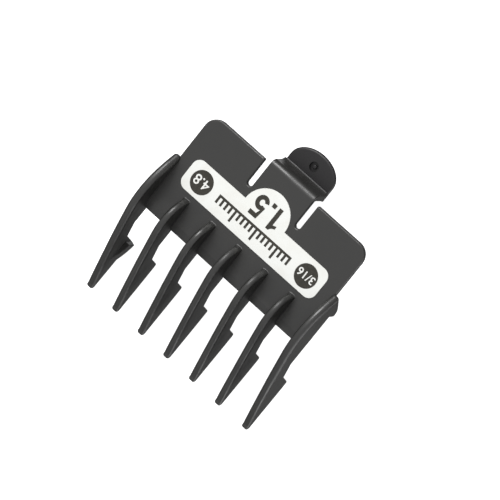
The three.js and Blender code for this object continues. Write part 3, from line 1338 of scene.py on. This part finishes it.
@dataclass
class Latch:
    """The flexing tongue with its riser, the catch, the step and the finger tab."""

    workshop: Workshop
    root: float
    bend_rear: float = 27.35
    bend_radius: float = 1.6
    inner_radius: float = 0.2
    wall: float = 1.5
    riser_bottom: float = 6.6
    edge_rear: float = 28.0
    bend_cuts: int = 14
    flare_rise: float = 2.5
    flare_edge: float = 0.2
    corner_radius: float = 0.3
    cross_radius: float = 0.04
    catch_embed: float = 0.6
    catch_slope: float = 0.37
    catch_chin: float = 0.8
    catch_chamfer: float = 0.3
    catch_rim: float = 0.14
    tab_straight: float = 29.2
    dimple_place: float = 30.3
    step_radius: float = 0.05
    step_embed: float = 0.1
    step_overhang: float = 0.05
    bead_rise: float = 0.28
    bead_width: float = 0.34
    dimple_radius: float = 1.15
    dimple_depth: float = 0.75
    nub_radius: float = 0.5
    nub_drop: float = 0.2
    nub_rim: float = 0.2
    tab_rim: float = 0.6
    tab_side: float = 0.3
    tab_underside: float = 0.35

    def flexure(self) -> Flexure:
        """The stretch of the tongue that bends.

        Returns:
            The stretch, from the plate to the tongue's rear.
        """
        _, high = self.workshop.drawing.span("latch_tongue")
        place = self.workshop.drawing.place
        return Flexure(place(0, self.root, 0), place(0, high.y, 0))

    def strip_outline(self) -> Outline:
        """Side outline of the tongue, the bend and the riser, as one strip.

        Returns:
            The outline.
        """
        rear, radius, inner = self.bend_rear, self.bend_radius, self.inner_radius
        front = rear - self.wall
        flare = self.edge_rear - rear
        side = Outline(self.root, -self.wall).line(front - inner, -self.wall)
        side.arc((front - inner, -self.wall - inner), inner, 90, 0)
        side.line(front, -self.riser_bottom)
        side.line(self.edge_rear, -self.riser_bottom)
        side.bow((rear, flare - self.riser_bottom), rear, self.flare_rise - self.riser_bottom)
        side.arc((rear - radius, -radius), radius, 0, 90)
        return side.line(self.root, 0)

    def strip_radius(self, place: Vector, _facing: Vector, crosses: bool) -> float:
        """Edge radius of the strip: none where it runs on from the plate.

        Args:
            place: The edge's middle.
            crosses: Whether the edge runs across the strip.

        Returns:
            The radius in millimetres.
        """
        if place.y < self.root + NEAR:
            return 0.0
        if not crosses:
            return self.corner_radius
        return self.flare_edge if place.y > self.edge_rear - NEAR else self.cross_radius

    def build_strip(self, finishes: Finishes) -> bpy.types.Object:
        """Models the tongue and the riser.

        Args:
            finishes: The comb's materials.

        Returns:
            The strip, which bends from the plate to the riser.
        """
        shop = self.workshop
        low, high = shop.drawing.span("latch_tongue")
        strip = shop.slab("tongue_and_riser", self.strip_outline(), Plane.SIDE, low.x, high.x, steps=10)
        shop.round_edges(strip, self.strip_radius, segments=4)
        step = (high.y - self.root) / self.bend_cuts
        shop.cut(strip, 1, [self.root + step * (n + 1) for n in range(self.bend_cuts)])
        shop.cut(strip, 2, [-self.riser_bottom + self.flare_rise])
        shop.settle(strip)
        dress(strip, finishes.moulding)
        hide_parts("latch_tongue", "latch_riser")
        self.flexure().bend(strip)
        return strip

    def build_catch(self, finishes: Finishes) -> bpy.types.Object:
        """Models the catch along the riser's front.

        Args:
            finishes: The comb's materials.

        Returns:
            The catch.
        """
        shop = self.workshop
        low, high = shop.drawing.span("catch_lip")
        rear = high.y + self.catch_embed
        side = Outline(rear, low.z).line(rear, high.z).line(high.y, high.z)
        side.line(low.y, high.z - self.catch_slope).line(low.y, low.z + self.catch_chin)
        side.line(high.y - self.catch_chamfer, low.z)
        catch = shop.slab("blade_catch", side, Plane.SIDE, low.x, high.x)
        shop.round_edges(catch, lambda *_: self.catch_rim, segments=3)
        shop.settle(catch)
        dress(catch, finishes.moulding)
        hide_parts("catch_lip")
        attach(catch, LATCH)
        return catch

    def build_step(self, finishes: Finishes) -> bpy.types.Object:
        """Models the thin step between the riser's edge and the tab.

        Args:
            finishes: The comb's materials.

        Returns:
            The step.
        """
        shop = self.workshop
        low, high = shop.drawing.span("edge_step")
        rear, front = high.y + self.step_overhang, high.y + self.step_overhang - self.bead_width
        top, shelf, bottom = high.z + self.bead_rise, high.z - self.step_embed, low.z - self.step_embed
        side = Outline(low.y, bottom).line(rear, bottom).line(rear, top - self.bead_width / 2)
        side.line(front, top).line(front, shelf).line(low.y, shelf)
        step = shop.slab("riser_step", side, Plane.SIDE, low.x, high.x)
        shop.round_edges(step, lambda *_: self.step_radius, segments=4)
        shop.settle(step)
        dress(step, finishes.tab)
        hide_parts("edge_step")
        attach(step, LATCH)
        return step

    def ring(self, radius: float) -> Outline:
        """A circle round the dimple's middle."""
        return Outline(radius, self.dimple_place).arc((0, self.dimple_place), radius, 0, 360)

    def tab_radius(self, place: Vector, _facing: Vector, crosses: bool) -> float:
        """Edge radius of the tab: large round its upper rim.

        Args:
            place: The edge's middle.
            crosses: Whether the edge runs across the rim.

        Returns:
            The radius in millimetres.
        """
        low, high = self.workshop.drawing.span("finger_tab")
        if crosses:
            return self.tab_side
        return self.tab_rim if place.z > (low.z + high.z) / 2 else self.tab_underside

    def build_tab(self, finishes: Finishes) -> bpy.types.Object:
        """Models the D-shaped finger tab with its moulding dimple.

        Args:
            finishes: The comb's materials.

        Returns:
            The tab.
        """
        shop = self.workshop
        low, high = shop.drawing.span("finger_tab")
        plan = Outline(low.x, low.y).line(high.x, low.y).line(high.x, self.tab_straight)
        plan.arc((0, self.tab_straight), (high.x, high.y - self.tab_straight), 0, 180)
        tab = shop.slab("finger_tab_plate", plan, Plane.PLAN, low.z, high.z, steps=18)
        shop.round_edges(tab, self.tab_radius, segments=3)
        level, floor = high.z, high.z - self.dimple_depth
        shop.carve(tab, shop.slab("bore", self.ring(self.dimple_radius), Plane.PLAN, floor, level + 1))
        root, head = floor - 10 * NEAR, level - self.nub_drop
        nub = shop.slab("nub", self.ring(self.nub_radius), Plane.PLAN, root, head)
        shop.round_edges(nub, lambda at, *_: self.nub_rim if at.z > floor else 0.0, segments=4)
        shop.carve(tab, nub, join=True)
        shop.settle(tab)
        dress(tab, finishes.tab)
        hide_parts("finger_tab")
        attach(tab, LATCH)
        return tab

    def build(self, finishes: Finishes) -> list[bpy.types.Object]:
        """Models the whole latch."""
        makers = (self.build_strip, self.build_catch, self.build_step, self.build_tab)
        return [make(finishes) for make in makers]


@dataclass
class Label:
    """The white label over the plate and the tongue's root, with generic figures and a graduation."""

    workshop: Workshop
    flexure: Flexure
    corner_radius: float = 2.0
    bump_radius: float = 5.8
    strip_rear: float = 16.65
    rim_radius: float = 0.06
    film_embed: float = 0.05
    cut_pitch: float = 0.45
    cut_count: int = 6
    ink_depth: float = 0.03
    medallion_x: float = 15.53
    medallion_y: float = 12.75
    medallion_radius: float = 2.75
    medallion_weight: float = 0.03
    scale_half: float = 10.6
    scale_rear: float = 13.6
    major_length: float = 3.3
    minor_length: float = 2.1
    tick_width: float = 0.56
    tick_pitch: float = 1.22
    spine: float = 0.55
    baseline: float = 20.1
    figure_height: float = 5.4
    figure_stroke: float = 1.02

    def film_outline(self) -> Outline:
        """Plan of the film: a rounded strip with a half-round bump.

        Returns:
            The outline.
        """
        low, high = self.workshop.drawing.span("label_panel")
        half, front, corner = high.x, low.y, self.corner_radius
        rear = self.strip_rear
        plan = Outline(corner - half, front).line(half - corner, front)
        plan.arc((half - corner, front + corner), corner, -90, 0)
        plan.arc((half - corner, rear - corner), corner, 0, 90)
        plan.arc((0, rear), self.bump_radius, 0, 180)
        plan.arc((corner - half, rear - corner), corner, 90, 180)
        return plan.arc((corner - half, front + corner), corner, 180, 270)

    def build_film(self, finishes: Finishes) -> bpy.types.Object:
        """Models the film, with cuts across its bump so that it can bend with the tongue.

        Args:
            finishes: The comb's materials.

        Returns:
            The film.
        """
        shop = self.workshop
        low, high = shop.drawing.span("label_panel")
        under = low.z - self.film_embed
        film = shop.slab("label_film", self.film_outline(), Plane.PLAN, under, high.z, steps=16)
        shop.round_edges(film, lambda *_: self.rim_radius, segments=2)
        first = shop.drawing.read(self.flexure.start).y
        shop.cut(film, 1, [first + self.cut_pitch * n for n in range(self.cut_count)])
        shop.settle(film)
        dress(film, finishes.film)
        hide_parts("label_panel")
        self.flexure.bend(film)
        return film

    def figures(self) -> list[tuple[str, Outline, float]]:
        """The size's bold figures.

        Returns:
            Each figure's name, outline and place along the baseline.
        """
        tall, stroke = self.figure_height, self.figure_stroke
        one = Outline(0, 0).line(stroke, 0).line(stroke, tall).line(0.25, tall)
        one.bow((-0.15, tall - 0.85), -0.95, tall - 1.0).line(-0.95, tall - 1.75).line(0, tall - 1.45)
        point = Outline(0, 0).line(stroke, 0).line(stroke, stroke).line(0, stroke)
        middle = (1.4, 1.72)
        five = Outline(2.75, tall).line(0.45, tall).line(0.05, 2.35)
        five.arc(middle, (1.6 - stroke, 1.75 - stroke), 140, -160)
        five.arc(middle, (1.6, 1.75), -163, 114)
        five.line(1.15, tall - stroke).line(2.75, tall - stroke)
        return [("one", one, -2.75), ("point", point, -1.0), ("five", five, 0.75)]

    def graduation_outline(self) -> Outline:
        """A ruler's edge: a spine with long and short ticks that stand towards the teeth.

        Returns:
            The outline.
        """
        rear, inner = self.scale_rear, self.scale_rear - self.spine
        count = int(2 * self.scale_half / self.tick_pitch) + 1
        first = -self.tick_pitch * (count - 1) / 2
        plan = Outline(-first + self.tick_width / 2, rear).line(first - self.tick_width / 2, rear)
        for n in range(count):
            length = self.major_length if (n - count // 2) % 5 == 0 else self.minor_length
            middle = first + n * self.tick_pitch
            left, right = middle - self.tick_width / 2, middle + self.tick_width / 2
            if n:
                plan.line(left, inner)
            plan.line(left, rear - length).line(right, rear - length)
            if n < count - 1:
                plan.line(right, inner)
        return plan

    def print_piece(self, piece: bpy.types.Object, material: bpy.types.Material, bends: bool) -> None:
        """Dresses a printed piece, and fixes it to the comb or, where it lies on the film's bending stretch,
        bakes its placement in.

        Args:
            piece: The piece.
            material: Its material.
            bends: Whether it lies on the film's bending stretch and is baked in place rather than fixed to the
                comb.
        """
        dress(piece, material)
        if bends:
            self.flexure.bend(piece)
        else:
            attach(piece, COMB)

    def build(self, finishes: Finishes) -> list[bpy.types.Object]:
        """Models the film and everything printed on it.

        Args:
            finishes: The comb's materials.

        Returns:
            The label's pieces.
        """
        shop = self.workshop
        film = self.build_film(finishes)
        _, high = shop.drawing.span("label_panel")
        level, depth = high.z, self.ink_depth
        pieces = [film]
        for word, figure, along in self.figures():
            placed = figure.turned(-along, self.baseline)
            number = shop.slab(f"size_{word}", placed, Plane.PLAN, level, level + depth)
            shop.settle(number)
            self.print_piece(number, finishes.ink, True)
            pieces.append(number)
        scale = shop.slab("graduation", self.graduation_outline(), Plane.PLAN, level, level + depth)
        shop.settle(scale)
        self.print_piece(scale, finishes.ink, False)
        pieces.append(scale)
        for side, figures, size in ((Side.LEFT, "4.8", 3.3), (Side.RIGHT, "3/16", 2.6)):
            x = side.value * self.medallion_x
            disc = Outline(x + self.medallion_radius, self.medallion_y)
            disc.arc((x, self.medallion_y), self.medallion_radius, 0, 360)
            medallion = shop.slab(f"medallion_{side.word}", disc, Plane.PLAN, level, level + depth, 16)
            shop.settle(medallion)
            self.print_piece(medallion, finishes.ink, False)
            name, weight = f"medallion_figures_{side.word}", self.medallion_weight
            number = shop.lettering(
                name, figures, size, weight, x, self.medallion_y, level + depth, depth
            )
            self.print_piece(number, finishes.film, False)
            pieces += [medallion, number]
        return pieces


# ---- Studio ----


@dataclass(frozen=True)
class Lamp:
    """A soft panel light: where it stands from the comb's middle, and how large and strong it is."""

    name: str
    place: tuple[float, float, float]
    width: float
    height: float
    power: float
    colour: tuple[float, float, float] = (1.0, 1.0, 1.0)


@dataclass
class Studio:
    """The pale floor, the soft lights and the camera."""

    drawing: Drawing
    bearing: float = 42.2
    elevation: float = 70.9
    roll: float = -91.9
    distance: float = 900.0
    lens: float = 300.0
    aim: tuple[float, float, float] = (1.61, 8.17, -2.31)
    floor_size: float = 4.0
    floor_drop: float = 0.00005
    sky: float = 0.78
    ground: float = 0.17
    dusk: Pair = (-0.25, 0.45)
    backdrop: float = 0.95
    lamps: tuple[Lamp, ...] = (
        Lamp("rear_key", (-0.42, 0.72, 0.58), 0.5, 0.4, 6.5),
        Lamp("side_fill", (0.95, -0.3, -0.3), 1.2, 0.8, 6.0),
        Lamp("ground_bounce", (-0.45, 0.1, -0.8), 0.9, 0.9, 1.8),
    )

    def build_floor(self) -> None:
        """Lays a plain, nearly shadowless floor under the comb."""
        low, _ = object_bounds()
        bpy.ops.object.select_all(action="DESELECT")
        bpy.ops.mesh.primitive_plane_add(size=self.floor_size, location=(0, 0, low.z - self.floor_drop))
        floor = bpy.context.object
        floor.name = "studio_floor"
        material = bpy.data.materials.new("studio_white")
        material.use_nodes = True
        tree = material.node_tree
        shader = tree.nodes["Principled BSDF"]
        shader.inputs["Base Color"].default_value = (0.8, 0.8, 0.8, 1)
        shader.inputs["Roughness"].default_value = 0.9
        shader.inputs["Emission Color"].default_value = (1, 1, 1, 1)
        shader.inputs["Emission Strength"].default_value = 0.92
        one_sided = node(tree, "MixShader")
        tree.links.new(node(tree, "NewGeometry").outputs["Backfacing"], one_sided.inputs["Fac"])
        tree.links.new(shader.outputs["BSDF"], one_sided.inputs[1])
        tree.links.new(node(tree, "BsdfTransparent").outputs["BSDF"], one_sided.inputs[2])
        tree.links.new(one_sided.outputs["Shader"], tree.nodes["Material Output"].inputs["Surface"])
        floor.data.materials.append(material)
        floor.visible_diffuse = False
        floor.visible_glossy = False
        floor.visible_shadow = False
        floor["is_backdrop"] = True

    def build_lamps(self) -> None:
        """Hangs the lamps, each turned to the comb's middle."""
        low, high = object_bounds()
        centre = (low + high) / 2
        for lamp in self.lamps:
            light = bpy.data.lights.new(lamp.name, "AREA")
            light.shape = "RECTANGLE"
            light.size, light.size_y = lamp.width, lamp.height
            light.energy = lamp.power
            light.color = lamp.colour
            stand = bpy.data.objects.new(lamp.name, light)
            offset = Vector(lamp.place)
            turn = (-offset).to_track_quat("-Z", "Y").to_matrix().to_4x4()
            stand.matrix_world = Matrix.Translation(centre + offset) @ turn
            stand.visible_camera = False
            bpy.context.scene.collection.objects.link(stand)

    def build_world(self) -> None:
        """Fills the room with a soft light that fades towards the ground, in front of a pale backdrop."""
        world = bpy.data.worlds.new("studio_room")
        world.use_nodes = True
        tree = world.node_tree
        room = tree.nodes["Background"]
        room.inputs["Color"].default_value = (1, 1, 1, 1)
        split = node(tree, "SeparateXYZ")
        tree.links.new(node(tree, "TexCoord").outputs["Generated"], split.inputs["Vector"])
        glow = ramp(tree, *self.dusk, split.outputs["Z"], self.ground, self.sky)
        seen = node(tree, "Mix", {"data_type": "FLOAT"})
        seen.inputs["B"].default_value = self.backdrop
        tree.links.new(node(tree, "LightPath").outputs["Is Camera Ray"], seen.inputs["Factor"])
        tree.links.new(glow, seen.inputs["A"])
        tree.links.new(seen.outputs["Result"], room.inputs["Strength"])
        bpy.context.scene.world = world
        bpy.context.scene.view_settings.view_transform = "Standard"

    def build_camera(self) -> None:
        """Stands the camera at its bearing and elevation round the point that it aims at."""
        bearing, elevation, roll = (math.radians(a) for a in (self.bearing, self.elevation, self.roll))
        back = Vector(
            (
                math.cos(bearing) * math.cos(elevation),
                math.sin(bearing) * math.cos(elevation),
                math.sin(elevation),
            )
        )
        level = Vector((-math.sin(bearing), math.cos(bearing), 0))
        upright = back.cross(level)
        right = level * math.cos(roll) + upright * math.sin(roll)
        up = back.cross(right)
        data = bpy.data.cameras.new("camera")
        data.lens = self.lens
        data.clip_start, data.clip_end = 0.05, 10
        camera = bpy.data.objects.new("camera", data)
        turn = Matrix((right, up, back)).transposed().to_4x4()
        place = self.drawing.place(*self.aim) + back * self.distance * MM
        camera.matrix_world = Matrix.Translation(place) @ turn
        bpy.context.scene.collection.objects.link(camera)
        bpy.context.scene.camera = camera

    def build(self) -> None:
        """Sets the whole studio up."""
        self.build_floor()
        self.build_lamps()
        self.build_world()
        self.build_camera()


def main() -> None:
    """Builds the comb and its studio."""
    logging.basicConfig(level=logging.INFO, format="%(name)s: %(message)s")
    cad_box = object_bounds()
    drawing = Drawing.of_plate()
    workshop = Workshop(drawing)
    finishes = Finishes.build()
    plate = Plate(workshop)
    latch = Latch(workshop, plate.tongue_root)
    pieces = [plate.build(finishes), *InnerTeeth(workshop, plate=plate).build(finishes)]
    for side in Side:
        pieces.append(OuterTooth(workshop, side=side).build(finishes))
        pieces.append(Gusset(workshop, side).build(finishes))
    pieces += latch.build(finishes)
    pieces += Label(workshop, latch.flexure()).build(finishes)
    for piece in pieces:
        log.info("%s: %d faces", piece.name, len(piece.data.polygons))
    Studio(drawing).build()
    boxes = {"cad": cad_box, "visual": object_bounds()}
    sizes = {name: [list(corner) for corner in box] for name, box in boxes.items()}


if __name__ == "__main__":
    main()
